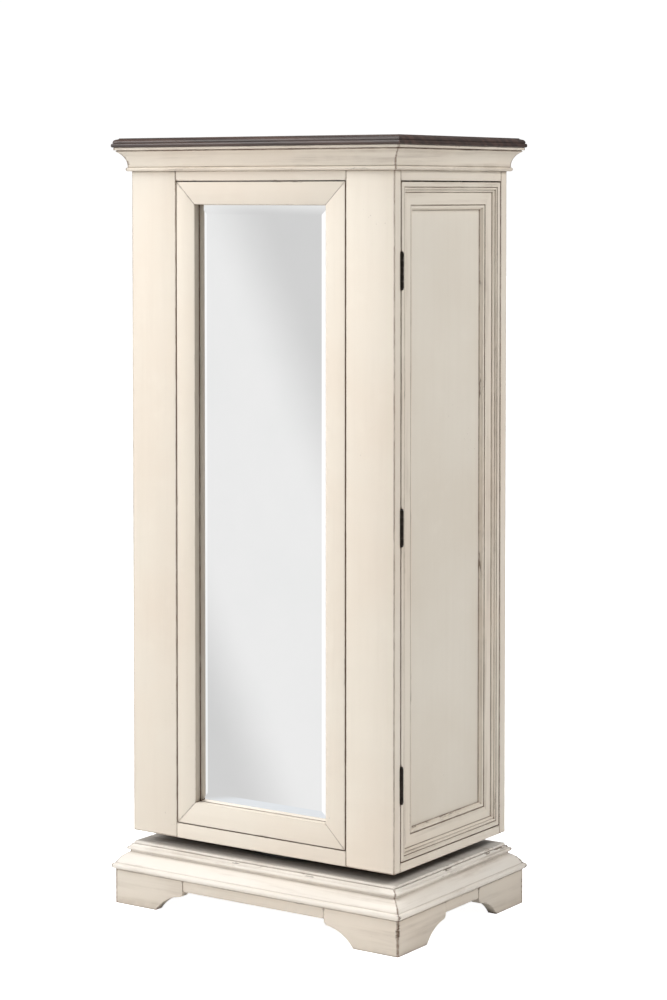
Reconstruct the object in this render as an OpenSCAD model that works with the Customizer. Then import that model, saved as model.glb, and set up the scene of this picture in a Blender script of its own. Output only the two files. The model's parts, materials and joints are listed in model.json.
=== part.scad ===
// Jewelry armoire on a swivel base.
// A mirror stands on the -Y face, a stack of drawers fills the +Y face, and a necklace closet
// hides behind a hinged door on each side. Origin: centre of the base, on the floor. +Z is up.

/* [Body] */
// Width of the body between the outer faces of the side doors
body_w = 620; // [560:1:680]
// Depth of the body between the mirror face and the drawer face
body_d = 405; // [380:1:440]
// Height of the body's underside above the floor
body_bottom = 145; // [145:1:170]
// Underside of the crown moulding, where the plain face of the body ends
face_top = 1459; // [1400:1:1500]
// Underside of the walnut top
slab_bottom = 1506; // [1506:1:1560]
// Thickness of the walnut top
slab_t = 18; // [17:1:20]
// Thickness of the stiles and rails on the mirror and drawer faces
board_t = 22; // [20:1:22]
// Half the width of the centre bay between the stiles
bay_half = 201; // [180:1:205]
// Thickness of the partitions between the centre bay and the closets
partition_t = 15; // [12:1:18]
// Underside of the centre bay's opening
bay_z0 = 174; // [170:1:200]
// Top of the centre bay's opening
bay_z1 = 1440; // [1380:1:1440]

/* [Mirror] */
// Gap around the mirror frame
mirror_gap = 2; // [1:0.5:3]
// Width of the flat mirror frame
mirror_frame_w = 44; // [35:1:55]
// Depth of the frame's face in front of the glass
mirror_recess = 15; // [8:1:16]
// Thickness of the mirror glass
glass_t = 5; // [4:0.5:5]
// Width of the bevel that shows around the glass
bevel_w = 19; // [12:1:25]

/* [Side doors] */
// Thickness of each side door
door_t = 24; // [22:1:26]
// Gap between a door's edge and the board beside it
door_gap = 2.5; // [2:0.5:3]
// Underside of each door
door_z0 = 164; // [160:1:190]
// Top of each door
door_z1 = 1437; // [1380:1:1437]
// Depth of the sunk panel below the door's rim
panel_depth = 16.5; // [12:0.5:18]
// Thickness of the sunk panel
panel_t = 6; // [4:0.5:7]

/* [Hinges] */
// Radius of a hinge barrel
barrel_r = 3.5; // [3:0.5:4]
// Length of a hinge barrel without its tips
barrel_len = 66; // [50:1:80]
// Radius of a hinge pin
pin_r = 1.6; // [1.2:0.1:2]
// Distance of the hinge axis outside the face of the body
axis_out = 1.5; // [1:0.5:3]
// Thickness of a hinge leaf
leaf_t = 1; // [0.8:0.1:1]

/* [Drawers] */
// Gap around and between the drawer fronts
drawer_gap = 3; // [2:0.5:4]
// How much taller each drawer front is than the one above it
drawer_step = 10; // [0:1:15]
// Thickness of a drawer front
drawer_front_t = 20; // [18:1:22]
// Thickness of a drawer's sides and back
drawer_wall = 10; // [8:1:12]
// Distance of a knob from the middle of its drawer
knob_x = 105; // [60:1:140]

/* [Swivel base] */
// Height of the base's top board above the floor
base_top = 123; // [123:1:123]
// Thickness of the base's top board
base_board_t = 18; // [15:1:18]
// How far the feet stand out past the body's faces
foot_out = 26; // [20:1:30]
// Thickness of the bracket feet and apron boards
foot_t = 20; // [15:1:22]
// Height of the feet
foot_h = 67.5; // [60:0.5:67.5]
// Length of a foot along the floor
foot_floor = 101; // [80:1:110]
// Length of a foot where it meets the apron
foot_len = 168; // [160:1:180]
// Underside of the apron
apron_z0 = 46; // [40:1:50]
// Radius of the swivel's ball track
track_r = 130; // [100:1:150]
// Radius of a bearing ball
ball_r = 4; // [4:0.5:4]

/* [Hidden] */
$fn = 32;
// Space left between glued pieces, so that each stays a solid of its own
glue = 0.1;
// Clearance between pieces that move past each other
slip = 0.3;
// Radial clearance of a shaft in its bore
running = 0.05;
drawer_count = 7;
half_w = body_w / 2;
half_d = body_d / 2;
inner_y = half_d - board_t;
inner_x = half_w - door_t;
rail_z0 = door_z0 - 2;
rail_z1 = door_z1 + 2.5;
board_top = slab_bottom;
carcass_top_t = 16;
door_half = inner_y - door_gap;
hinge_x = half_w + axis_out;
hinge_y = -(door_half + door_gap / 2);
hinge_zs = [309, 793, 1272];
knuckle_count = 5;
knuckle = barrel_len / knuckle_count;
leaf_x0 = inner_x + 1;
drawer_fit = bay_z1 - bay_z0 - (drawer_count + 1) * drawer_gap;
drawer_h0 = (drawer_fit - drawer_step * drawer_count * (drawer_count - 1) / 2) / drawer_count;
tray_half = bay_half - 3;
tray_back = -165;
tray_lift = 16;
tray_drop = 20;
tray_bottom_t = 5;
tray_y1 = half_d - drawer_front_t;
foot_x = half_w + foot_out;
foot_y = half_d + foot_out;
track_z = base_top + 7;
cage_t = 2;
ball_count = 12;
latch_y = 150;
latch_z = rail_z1 - 10;
latch_r = 4;
latch_stroke = 3;
hook_z = 1384;
hook_pitch = 40;

cream = [0.91, 0.87, 0.8];
side_cream = [0.84, 0.8, 0.74];
walnut = [0.33, 0.27, 0.24];
bronze = [0.14, 0.12, 0.11];
steel = [0.62, 0.63, 0.65];
maple = [0.75, 0.64, 0.49];
brass_yellow = [0.78, 0.62, 0.33];
silver = [0.85, 0.87, 0.88];
charcoal = [0.2, 0.2, 0.21];

// ---------- outlines ----------

// Points along a circular arc, from angle a0 to angle a1
function arc(centre, r, a0, a1, steps = 8) =
    [for (i = [0 : steps]) let (a = a0 + (a1 - a0) * i / steps) centre + r * [cos(a), sin(a)]];

// Points along a shallow bow from p to q that swells by sag to the left of the way it runs
function bow(p, q, sag, steps = 6) =
    let (along = q - p, left = [-along.y, along.x] / norm(along))
    [for (i = [0 : steps]) let (t = i / steps) p + along * t + left * 4 * sag * t * (1 - t)];

// A half outline closed by its mirror image
function both_halves(half) =
    concat(half, [for (i = [len(half) - 1 : -1 : 0]) [-half[i].x, half[i].y]]);

// ---------- shared building shapes ----------

// A box given by its low and high corners
module block(low, high) {
    translate(low) cube(high - low);
}

// The same children on both sides of the middle plane
module both_sides() {
    children();
    mirror([1, 0, 0]) children();
}

// Four lengths of one moulding around a w by h rectangle, mitred at the corners.
// The outline is drawn as [distance outside the rectangle, height].
module mitred_ring(w, h, out, back, low, high) {
    for (k = [0 : 3]) {
        span = k % 2 == 0 ? w : h;
        offset_y = (k % 2 == 0 ? h : w) / 2;
        rotate([0, 0, 90 * k]) translate([0, offset_y, 0]) intersection() {
            rotate([90, 0, 90]) linear_extrude(span + 2 * out + 2, center = true) children();
            translate([0, 0, low - 1]) linear_extrude(high - low + 2)
                polygon([for (e = [[1, out + 1], [-1, out + 1], [-1, -back - 1], [1, -back - 1]])
                    [e.x * (span / 2 + e.y - glue), e.y]]);
        }
    }
}

// A flat plate whose four edges all carry one outline, drawn as [distance outside w by h, height]
module edged_plate(w, h, edge) {
    reach = w + h;
    intersection() {
        rotate([90, 0, 90]) linear_extrude(reach, center = true)
            polygon(both_halves([for (p = edge) [h / 2 + p.x, p.y]]));
        rotate([90, 0, 0]) linear_extrude(reach, center = true)
            polygon(both_halves([for (p = edge) [w / 2 + p.x, p.y]]));
    }
}

// ---------- base ----------

// One board of a bracket foot with an ogee cut, lying along X from the outer corner,
// its show face on Y = 0 and its outer end mitred
module foot_board() {
    cusp = [foot_len - 9, 34.5];
    step_r = 9.5;
    outline = concat(
        [[0, 0]],
        bow([foot_floor, 0], cusp, 7),
        arc([foot_len - 9.5, 44], step_r, -80, 0, 5),
        [[foot_len, foot_h], [0, foot_h]]);
    intersection() {
        translate([0, foot_t, 0]) rotate([90, 0, 0]) linear_extrude(foot_t) polygon(outline);
        translate([0, 0, -1]) linear_extrude(foot_h + 2)
            polygon([[glue, 0], [foot_len + 1, 0], [foot_len + 1, foot_t], [foot_t + glue, foot_t]]);
    }
}

// Two mitred boards and the glue block in the corner between them
module bracket_foot(sx, sy) {
    block_leg = 48;
    scale_x = sx < 0 ? 0 : 1;
    scale_y = sy < 0 ? 0 : 1;
    mirror([scale_x, 0, 0]) mirror([0, scale_y, 0]) translate([-foot_x, -foot_y, 0]) {
        foot_board();
        mirror([1, -1, 0]) foot_board();
        translate([foot_t + glue, foot_t + glue, 5]) linear_extrude(foot_h - 5)
            polygon([[0, 0], [block_leg, 0], [0, block_leg]]);
    }
}

module foot_front_left() {
    color(cream) bracket_foot(-1, -1);
}

module foot_front_right() {
    color(cream) bracket_foot(1, -1);
}

module foot_rear_left() {
    color(cream) bracket_foot(-1, 1);
}

module foot_rear_right() {
    color(cream) bracket_foot(1, 1);
}

// Straight boards between the feet
module apron_rails() {
    set_back = 1;
    color(cream) {
        for (sy = [-1, 1]) translate([0, sy * (foot_y - set_back - foot_t / 2), 0])
            block([-foot_x + foot_len + glue, -foot_t / 2, apron_z0],
                [foot_x - foot_len - glue, foot_t / 2, foot_h]);
        for (sx = [-1, 1]) translate([sx * (foot_x - set_back - foot_t / 2), 0, 0])
            block([-foot_t / 2, -foot_y + foot_len + glue, apron_z0],
                [foot_t / 2, foot_y - foot_len - glue, foot_h]);
    }
}

module base_board() {
    color(cream) block([-half_w, -half_d, base_top - base_board_t], [half_w, half_d, base_top]);
}

// Bead, shallow cove and heavy lower bead around the base
module base_moulding() {
    ledge = 20;
    outline = concat(
        [[glue, 118]],
        bow([3, 117.6], [6.2, 113.5], -0.5, 3),
        arc([6.2, 109.7], 3.8, 90, -90),
        [[5, 105.5]],
        bow([5, 102], [26.5, 81.2], 2.8),
        arc([26.2, 75.1], 6, 90, -90),
        [[foot_out, foot_h], [-ledge, foot_h], [-ledge, base_top - base_board_t - glue],
            [glue, base_top - base_board_t - glue]]);
    color(cream) mitred_ring(body_w, body_d, 34, ledge, foot_h, 118) polygon(outline);
}

// ---------- swivel ----------

// The two grooves that the balls run in
module ball_track() {
    translate([0, 0, track_z]) rotate_extrude($fn = 96) translate([track_r, 0]) circle(ball_r + slip);
}

module race_plate(z0, z1) {
    ring_half = 22;
    difference() {
        translate([0, 0, z0]) cylinder(h = z1 - z0, r = track_r + ring_half, $fn = 96);
        translate([0, 0, z0 - 1]) cylinder(h = z1 - z0 + 2, r = track_r - ring_half, $fn = 96);
        ball_track();
    }
}

module turntable_lower() {
    color(steel) race_plate(base_top, track_z - 2);
}

module turntable_upper() {
    color(steel) race_plate(track_z + 2, track_z + 7);
}

module ball_cage() {
    cage_half = 12;
    color(brass_yellow) difference() {
        translate([0, 0, track_z - cage_t / 2])
            cylinder(h = cage_t, r = track_r + cage_half, $fn = 96);
        translate([0, 0, track_z - cage_t])
            cylinder(h = 2 * cage_t, r = track_r - cage_half, $fn = 96);
        for (i = [0 : ball_count - 1]) rotate([0, 0, 360 * i / ball_count])
            translate([track_r, 0, track_z - cage_t]) cylinder(h = 2 * cage_t, r = ball_r + glue);
    }
}

module bearing_balls() {
    color(steel) for (i = [0 : ball_count - 1]) rotate([0, 0, 360 * i / ball_count])
        translate([track_r, 0, track_z]) sphere(ball_r);
}

// Wooden spacer between the turntable and the cabinet
module swivel_disc() {
    disc_r = 168;
    color(charcoal) translate([0, 0, track_z + 7])
        cylinder(h = body_bottom - track_z - 7, r = disc_r, $fn = 96);
}

// ---------- carcass ----------

module bottom_board() {
    color(cream) block([-inner_x + glue, -inner_y + glue, body_bottom],
        [inner_x - glue, inner_y - glue, rail_z0]);
}

// Room for the hinge barrels at one door's front edge
module barrel_reliefs() {
    for (z = hinge_zs) translate([hinge_x, hinge_y, z - barrel_len / 2 - barrel_r - 1])
        cylinder(h = barrel_len + 2 * barrel_r + 2, r = barrel_r + 0.4);
}

module front_stiles() {
    color(cream) both_sides() difference() {
        block([bay_half, -half_d, body_bottom], [half_w, -inner_y, board_top]);
        barrel_reliefs();
    }
}

module rear_stiles() {
    color(cream) both_sides()
        block([bay_half, inner_y, body_bottom], [half_w, half_d, board_top]);
}

// Top and bottom rails of one face, lying between y0 and y1
module face_rails(y0, y1) {
    block([-bay_half + glue, y0, body_bottom], [bay_half - glue, y1, bay_z0]);
    block([-bay_half + glue, y0, bay_z1], [bay_half - glue, y1, board_top]);
}

module front_rails() {
    color(cream) face_rails(-half_d, -inner_y);
}

module rear_rails() {
    color(cream) face_rails(inner_y, half_d);
}

module side_rails() {
    color(side_cream) both_sides() {
        block([inner_x, -inner_y + glue, body_bottom], [half_w, inner_y - glue, rail_z0]);
        block([inner_x, -inner_y + glue, rail_z1], [half_w, inner_y - glue, board_top]);
    }
}

module partitions() {
    color(maple) both_sides()
        block([bay_half, -inner_y + glue, rail_z0 + glue],
            [bay_half + partition_t, inner_y - glue, board_top - carcass_top_t - glue]);
}

module top_board() {
    color(cream) block([-inner_x + glue, -inner_y + glue, board_top - carcass_top_t],
        [inner_x - glue, inner_y - glue, board_top]);
}

// Walnut top with a square lower edge, a fine step and a rounded upper edge
module top_slab() {
    edge = concat(
        [[28.5, 0], [29.5, 1], [29.5, 8.2], [28.6, 9], [27.4, 9]],
        arc([21.4, 9.6], 6, 0, 80, 6),
        [[20, 15.6], [18, 16.2], [18, slab_t]]);
    color(walnut) translate([0, 0, slab_bottom]) edged_plate(body_w, body_d, edge);
}

// Bead, cove and fillet under the walnut top
module crown_moulding() {
    cove_r = 33;
    outline = concat(
        [[glue, face_top]],
        arc([5, face_top + 4], 4, -90, 90),
        [[6, face_top + 9.5]],
        [for (a = [10 : 10 : 60]) [6 + cove_r * (1 - cos(a)), face_top + 10 + cove_r * sin(a)]],
        [[23.4, face_top + 40], [25.5, face_top + 41.5], [25.5, slab_bottom - glue],
            [glue, slab_bottom - glue]]);
    color(cream) mitred_ring(body_w, body_d, 27, 0, face_top, slab_bottom) polygon(outline);
}

// ---------- mirror ----------

mirror_w = 2 * (bay_half - mirror_gap);
mirror_h = bay_z1 - bay_z0 - 2 * mirror_gap;
mirror_lip = 6;

// Carries children drawn flat, +Z outwards, onto the mirror face
module on_mirror_face() {
    translate([0, -half_d, (bay_z0 + bay_z1) / 2]) rotate([90, 0, 0]) children();
}

module mirror_frame() {
    back = -(board_t - 1);
    outline = [
        [0, 0], [0, back], [-mirror_frame_w + mirror_lip, back],
        [-mirror_frame_w + mirror_lip, -mirror_recess],
        [-mirror_frame_w, -mirror_recess], [-mirror_frame_w, -1], [-mirror_frame_w + 1, 0]
    ];
    color(cream) on_mirror_face()
        mitred_ring(mirror_w, mirror_h, 0, mirror_frame_w, back, 0) polygon(outline);
}

module mirror_glass() {
    fit = glue;
    edge_t = 3.9;
    w = mirror_w - 2 * (mirror_frame_w - mirror_lip) - 2 * fit;
    h = mirror_h - 2 * (mirror_frame_w - mirror_lip) - 2 * fit;
    edge = [[-(bevel_w + mirror_lip), glass_t], [0, edge_t], [0, 0]];
    color(silver) on_mirror_face()
        translate([0, 0, -mirror_recess - glass_t - fit]) edged_plate(w, h, edge);
}

module mirror_backing() {
    backing_t = 5;
    y0 = -inner_y + glue;
    color(charcoal) block([-bay_half + glue, y0, bay_z0 - 8], [bay_half - glue, y0 + backing_t, bay_z1 + 8]);
}

// ---------- closets ----------

// Strip that carries the necklace hooks, on each partition
module hook_rails() {
    color(maple) both_sides()
        block([bay_half + partition_t + glue, -inner_y + 15, hook_z - 14],
            [bay_half + partition_t + 10, inner_y - 15, hook_z + 14]);
}

// Turned-up hooks along each rail
module necklace_hooks() {
    hook_r = 1.6;
    reach = 20;
    first = 4;
    color(brass_yellow) both_sides() for (i = [-first : first - 1])
        translate([bay_half + partition_t + 10 + glue, (i + 0.5) * hook_pitch, hook_z - 4]) {
            rotate([0, 90, 0]) cylinder(h = 2, r = 5);
            rotate([0, 90, 0]) cylinder(h = reach, r = hook_r);
            translate([reach, 0, 0]) sphere(hook_r);
            translate([reach, 0, 0]) cylinder(h = 9, r = hook_r);
            translate([reach, 0, 9]) sphere(2.4);
        }
}

// Touch latches under each closet's top rail, which push the door open
module latch_housings() {
    color(charcoal) both_sides() difference() {
        block([inner_x - 42, latch_y - 9, latch_z - 9], [inner_x - 3, latch_y + 9, rail_z1 - glue]);
        translate([inner_x - 36, latch_y, latch_z]) rotate([0, 90, 0])
            cylinder(h = 40, r = latch_r + running);
    }
}

module latch_plunger() {
    length = 28;
    translate([inner_x - slip - length, latch_y, latch_z]) rotate([0, 90, 0])
        cylinder(h = length, r = latch_r);
}

module right_latch_plunger() {
    color(steel) latch_plunger();
}

module left_latch_plunger() {
    color(steel) mirror([1, 0, 0]) latch_plunger();
}

// ---------- hinges ----------

// The knuckles of one side of a hinge; first is 0 or 1, the end that the side starts from
module knuckles(first, grow) {
    for (i = [first : 2 : knuckle_count - 1])
        translate([hinge_x, hinge_y, (i - knuckle_count / 2) * knuckle + slip / 2 - grow])
            cylinder(h = knuckle - slip + 2 * grow, r = barrel_r + grow);
}

// Flat leaf on one side of the door gap
module leaf(y0) {
    block([leaf_x0, y0, -barrel_len / 2], [half_w, y0 + leaf_t, barrel_len / 2]);
}

module hinge_bore(r) {
    translate([hinge_x, hinge_y, -barrel_len / 2 - 1]) cylinder(h = barrel_len + 2, r = r);
}

// Leaf, knuckles, pin and rounded tips on the cabinet's side
module cabinet_hinge_leaves() {
    color(bronze) both_sides() for (z = hinge_zs) translate([0, 0, z]) {
        difference() {
            union() {
                leaf(-inner_y);
                knuckles(0, 0);
            }
            knuckles(1, slip / 2 + glue);
            hinge_bore(pin_r);
        }
        translate([hinge_x, hinge_y, -barrel_len / 2]) cylinder(h = barrel_len, r = pin_r);
        for (s = [-1, 1]) translate([hinge_x, hinge_y, s * (barrel_len / 2 - slip / 2)]) sphere(2.8);
    }
}

// Leaf and bored knuckles on the door's side
module door_hinge_leaves() {
    for (z = hinge_zs) translate([0, 0, z]) difference() {
        union() {
            leaf(-door_half - leaf_t);
            knuckles(1, 0);
        }
        knuckles(0, slip / 2 + glue);
        hinge_bore(pin_r + running);
    }
}

// ---------- side doors ----------

// Moulded frame of the right door: square rim, bead and cove, flat field, inner bead and scoop
module door_frame() {
    rebate = 46;
    sight = 53.5;
    field = -8;
    outline = concat(
        [[0, -door_t], [0, 0], [-9, 0], [-9.8, -1.4]],
        arc([-12.2, -2.6], 2.2, 60, 140, 4),
        [[-14.6, -3.6]],
        bow([-15.2, -3.6], [-20, field], -1.2, 4),
        [[-42, field], [-42.8, field - 1.4]],
        arc([-46, -11], 3, 60, 120, 4),
        bow([-48.6, -11], [-sight, 0.4 - panel_depth], -1, 4),
        [[-sight, -panel_depth + glue], [-rebate, -panel_depth + glue], [-rebate, -door_t]]);
    difference() {
        translate([half_w, 0, (door_z0 + door_z1) / 2]) rotate([90, 0, 90])
            mitred_ring(2 * door_half, door_z1 - door_z0, 0, sight, -door_t, 0) polygon(outline);
        barrel_reliefs();
    }
}

module door_panel() {
    edge = 46.3;
    block([half_w - panel_depth - panel_t, -door_half + edge, door_z0 + edge],
        [half_w - panel_depth, door_half - edge, door_z1 - edge]);
}

module right_door_frame() {
    color(side_cream) door_frame();
}

module right_door_panel() {
    color(side_cream) door_panel();
}

module right_door_hinge_leaves() {
    color(bronze) door_hinge_leaves();
}

module left_door_frame() {
    color(side_cream) mirror([1, 0, 0]) door_frame();
}

module left_door_panel() {
    color(side_cream) mirror([1, 0, 0]) door_panel();
}

module left_door_hinge_leaves() {
    color(bronze) mirror([1, 0, 0]) door_hinge_leaves();
}

// ---------- drawers ----------

// Height of drawer n's front, and the height of its lower edge; drawer 1 is at the top
function front_h(n) = drawer_h0 + drawer_step * (n - 1);
function front_z(n) = n == drawer_count ? bay_z0 + drawer_gap
    : front_z(n + 1) + front_h(n + 1) + drawer_gap;

module drawer_front(n) {
    half = bay_half - 2;
    color(cream) block([-half, half_d - drawer_front_t, front_z(n)], [half, half_d, front_z(n) + front_h(n)]);
}

// Bottom, two sides and back of drawer n
module drawer_tray(n) {
    z0 = front_z(n) + tray_lift;
    z1 = front_z(n) + front_h(n) - tray_drop;
    inside = tray_half - drawer_wall - glue;
    color(maple) {
        both_sides() block([tray_half - drawer_wall, tray_back, z0], [tray_half, tray_y1 - glue, z1]);
        block([-inside, tray_back, z0], [inside, tray_back + drawer_wall, z1]);
        block([-inside, tray_back + drawer_wall + glue, z0 + 3], [inside, tray_y1 - glue, z0 + 3 + tray_bottom_t]);
    }
}

// Turned knobs of drawer n
module drawer_knobs(n) {
    outline = concat(
        [[0, 0], [8, 0], [8, 1.5], [5, 4], [4.5, 9]],
        arc([8, 16], 6, -100, 80, 10),
        [[0, 22.4]]);
    color(bronze) for (x = [-knob_x, knob_x])
        translate([x, half_d + glue, front_z(n) + front_h(n) / 2])
            rotate([-90, 0, 0]) rotate_extrude() polygon(outline);
}

// Wooden strips under the sides of each drawer
module drawer_runners() {
    color(maple) for (n = [1 : drawer_count]) both_sides()
        block([bay_half - 12, tray_back, front_z(n) + tray_lift - 12.4],
            [bay_half - glue, inner_y - 3, front_z(n) + tray_lift - 0.4]);
}

foot_front_left();
foot_front_right();
foot_rear_left();
foot_rear_right();
apron_rails();
base_board();
base_moulding();
turntable_lower();
ball_cage();
bearing_balls();
turntable_upper();
swivel_disc();
bottom_board();
front_stiles();
rear_stiles();
front_rails();
rear_rails();
side_rails();
partitions();
top_board();
top_slab();
crown_moulding();
mirror_frame();
mirror_glass();
mirror_backing();
drawer_runners();
hook_rails();
necklace_hooks();
latch_housings();
right_latch_plunger();
left_latch_plunger();
cabinet_hinge_leaves();
right_door_frame();
right_door_panel();
right_door_hinge_leaves();
left_door_frame();
left_door_panel();
left_door_hinge_leaves();
drawer_front(1);  // drawer_1_front
drawer_tray(1);  // drawer_1_tray
drawer_knobs(1);  // drawer_1_knobs
drawer_front(2);  // drawer_2_front
drawer_tray(2);  // drawer_2_tray
drawer_knobs(2);  // drawer_2_knobs
drawer_front(3);  // drawer_3_front
drawer_tray(3);  // drawer_3_tray
drawer_knobs(3);  // drawer_3_knobs
drawer_front(4);  // drawer_4_front
drawer_tray(4);  // drawer_4_tray
drawer_knobs(4);  // drawer_4_knobs
drawer_front(5);  // drawer_5_front
drawer_tray(5);  // drawer_5_tray
drawer_knobs(5);  // drawer_5_knobs
drawer_front(6);  // drawer_6_front
drawer_tray(6);  // drawer_6_tray
drawer_knobs(6);  // drawer_6_knobs
drawer_front(7);  // drawer_7_front
drawer_tray(7);  // drawer_7_tray
drawer_knobs(7);  // drawer_7_knobs
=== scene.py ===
"""A painted jewelry armoire on a swivel base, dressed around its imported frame.

The frame's boards are rebuilt with eased edges, its mouldings are run and mitred from their
outlines, and each piece is given a procedural finish: antique cream paint with a brown glaze,
walnut, maple, dark bronze, brass, felt and silvered glass.
"""

import json
import logging
import math
from dataclasses import dataclass, replace
from enum import Enum
from functools import cache
from typing import Any, Callable, Iterable, Sequence

import bpy
from mathutils import Matrix, Vector


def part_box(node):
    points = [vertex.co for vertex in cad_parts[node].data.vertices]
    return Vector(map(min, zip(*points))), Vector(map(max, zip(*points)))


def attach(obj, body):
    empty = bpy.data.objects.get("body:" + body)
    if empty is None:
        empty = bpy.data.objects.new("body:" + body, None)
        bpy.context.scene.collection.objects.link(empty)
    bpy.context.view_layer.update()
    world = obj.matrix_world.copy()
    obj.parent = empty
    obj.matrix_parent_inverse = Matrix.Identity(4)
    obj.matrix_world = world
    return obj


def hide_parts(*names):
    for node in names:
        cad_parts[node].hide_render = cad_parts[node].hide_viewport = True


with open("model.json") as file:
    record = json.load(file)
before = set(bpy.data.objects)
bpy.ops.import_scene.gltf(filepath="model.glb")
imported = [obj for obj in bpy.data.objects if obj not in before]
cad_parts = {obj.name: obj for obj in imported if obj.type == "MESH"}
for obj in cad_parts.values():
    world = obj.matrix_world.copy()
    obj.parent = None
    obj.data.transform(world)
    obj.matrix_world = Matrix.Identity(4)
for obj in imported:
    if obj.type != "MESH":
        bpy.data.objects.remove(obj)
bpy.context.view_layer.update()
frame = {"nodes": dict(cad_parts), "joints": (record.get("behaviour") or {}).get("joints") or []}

MM = 0.001
SEAM = 0.14  # how far a mitre has opened, in mm
Outline = list[tuple[float, float]]
Solid = tuple[Vector, Vector]
Mesh = bpy.types.Object
Colour = tuple[float, float, float]

log = logging.getLogger("armoire")


class Axis(Enum):
    """The way that a board's length, its grain and its brush strokes run."""

    ACROSS = 0
    DEEP = 1
    UP = 2


class Side(Enum):
    """The right or the left of the armoire, seen from the mirror."""

    RIGHT = 1
    LEFT = -1


# ---- finishes


class Recipe:
    """A material's node tree, written one node at a time."""

    def __init__(self, name: str) -> None:
        """Starts a named material with only its surface shader."""
        self.material = bpy.data.materials.new(name)
        self.material.use_nodes = True
        self.tree = self.material.node_tree
        self.shader = self.tree.nodes["Principled BSDF"]

    def put(self, kind: str, feeds: dict[Any, Any] | None = None, **settings: Any) -> bpy.types.Node:
        """Adds a node.

        Args:
            kind: The node's type, without its ShaderNode prefix.
            feeds: What goes into its inputs: constants, or sockets to link.
            settings: The node's own properties.

        Returns:
            The new node.
        """
        node = self.tree.nodes.new("ShaderNode" + kind)
        for key, value in settings.items():
            setattr(node, key, value)
        for key, value in (feeds or {}).items():
            self.feed(node, key, value)
        return node

    def feed(self, node: bpy.types.Node, key: Any, value: Any) -> None:
        """Sets one input of a node to a constant, or links a socket to it."""
        if isinstance(value, bpy.types.NodeSocket):
            self.tree.links.new(value, node.inputs[key])
        else:
            node.inputs[key].default_value = value

    def surface(self, **feeds: Any) -> None:
        """Feeds inputs of the surface shader, named with underscores for spaces."""
        for key, value in feeds.items():
            self.feed(self.shader, key.replace("_", " "), value)

    def place(self, scale: Sequence[float] = (1, 1, 1), shift: Sequence[float] = (0, 0, 0)) -> Any:
        """The object's own coordinates, stretched by a scale and moved by a shift."""
        where = self.put("TexCoord")
        mapping = self.put("Mapping", {"Vector": where.outputs["Object"], "Scale": scale, "Location": shift})
        return mapping.outputs["Vector"]

    def noise(self, vector: Any, scale: float, detail: float = 3.0, rough: float = 0.5) -> Any:
        """Cloudy noise from 0 to 1, read at a vector, with scale in clouds a metre."""
        feeds = {"Vector": vector, "Scale": scale, "Detail": detail, "Roughness": rough}
        return self.put("TexNoise", feeds).outputs["Fac"]

    def strokes(self, axis: Axis, along: float, across: float, detail: float, rough: float = 0.5) -> Any:
        """Noise drawn out along an axis, with its scales along and across it in strokes a metre."""
        return self.noise(self.place(stretched(axis, along, across)), 1.0, detail, rough)

    def span(self, value: Any, low: float, high: float, to_low: float = 0.0, to_high: float = 1.0) -> Any:
        """Maps low to high smoothly onto to_low to to_high."""
        feeds = {"Value": value, "From Min": low, "From Max": high, "To Min": to_low, "To Max": to_high}
        return self.put("MapRange", feeds, interpolation_type="SMOOTHSTEP").outputs["Result"]

    def sum(self, operation: str, first: Any, second: Any) -> Any:
        """A sum of two numbers or sockets, kept between 0 and 1."""
        return self.put("Math", {0: first, 1: second}, operation=operation, use_clamp=True).outputs[0]

    def blend(self, share: Any, first: Any, second: Any, kind: str = "MIX") -> Any:
        """Mixes two colours.

        Args:
            share: How much of the second, as a number or a socket.
            first: A colour or a socket.
            second: A colour or a socket.
            kind: The way that they mix.

        Returns:
            The colour socket.
        """
        node = self.put("Mix", data_type="RGBA", blend_type=kind)
        for number, value in ((0, share), (6, first), (7, second)):
            if isinstance(value, tuple) and len(value) == 3:
                value = (*value, 1.0)
            self.feed(node, number, value)
        return node.outputs[2]

    def near(self, reach: float, inside: bool) -> Any:
        """How much of the surface stands within reach, in metres, outside it or inside it."""
        node = self.put("AmbientOcclusion", {"Distance": reach}, samples=8, inside=inside)
        return self.sum("SUBTRACT", 1.0, node.outputs["AO"])

    def hollows(self, reach: float) -> Any:
        """1 deep in corners and joints, 0 in the open and farther off than reach, in metres."""
        return self.near(reach, inside=False)

    def edges(self, reach: float) -> Any:
        """1 along outer edges, 0 on flats farther off than reach, in metres."""
        return self.near(reach, inside=True)

    def times(self, first: Any, second: Any) -> Any:
        """A product of two numbers or sockets, kept between 0 and 1."""
        return self.sum("MULTIPLY", first, second)

    def bump(self, height: Any, depth: float, strength: float = 1.0) -> None:
        """Raises the surface by a height of which 1 stands a depth, in metres, above 0."""
        node = self.put("Bump", {"Height": height, "Distance": depth, "Strength": strength})
        self.surface(Normal=node.outputs["Normal"])


def stretched(axis: Axis, along: float, across: float) -> tuple[float, float, float]:
    """A scale along X, Y and Z for patterns that run along an axis."""
    scale = [across, across, across]
    scale[axis.value] = along
    return scale[0], scale[1], scale[2]


class Finish:
    """What a piece is finished with."""

    def material(self) -> bpy.types.Material:
        """The finish's material."""
        raise NotImplementedError

    def along(self, axis: Axis) -> bpy.types.Material:
        """The material with its grain or its strokes along an axis, where it has any."""
        return (replace(self, axis=axis) if hasattr(self, "axis") else self).material()


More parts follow.
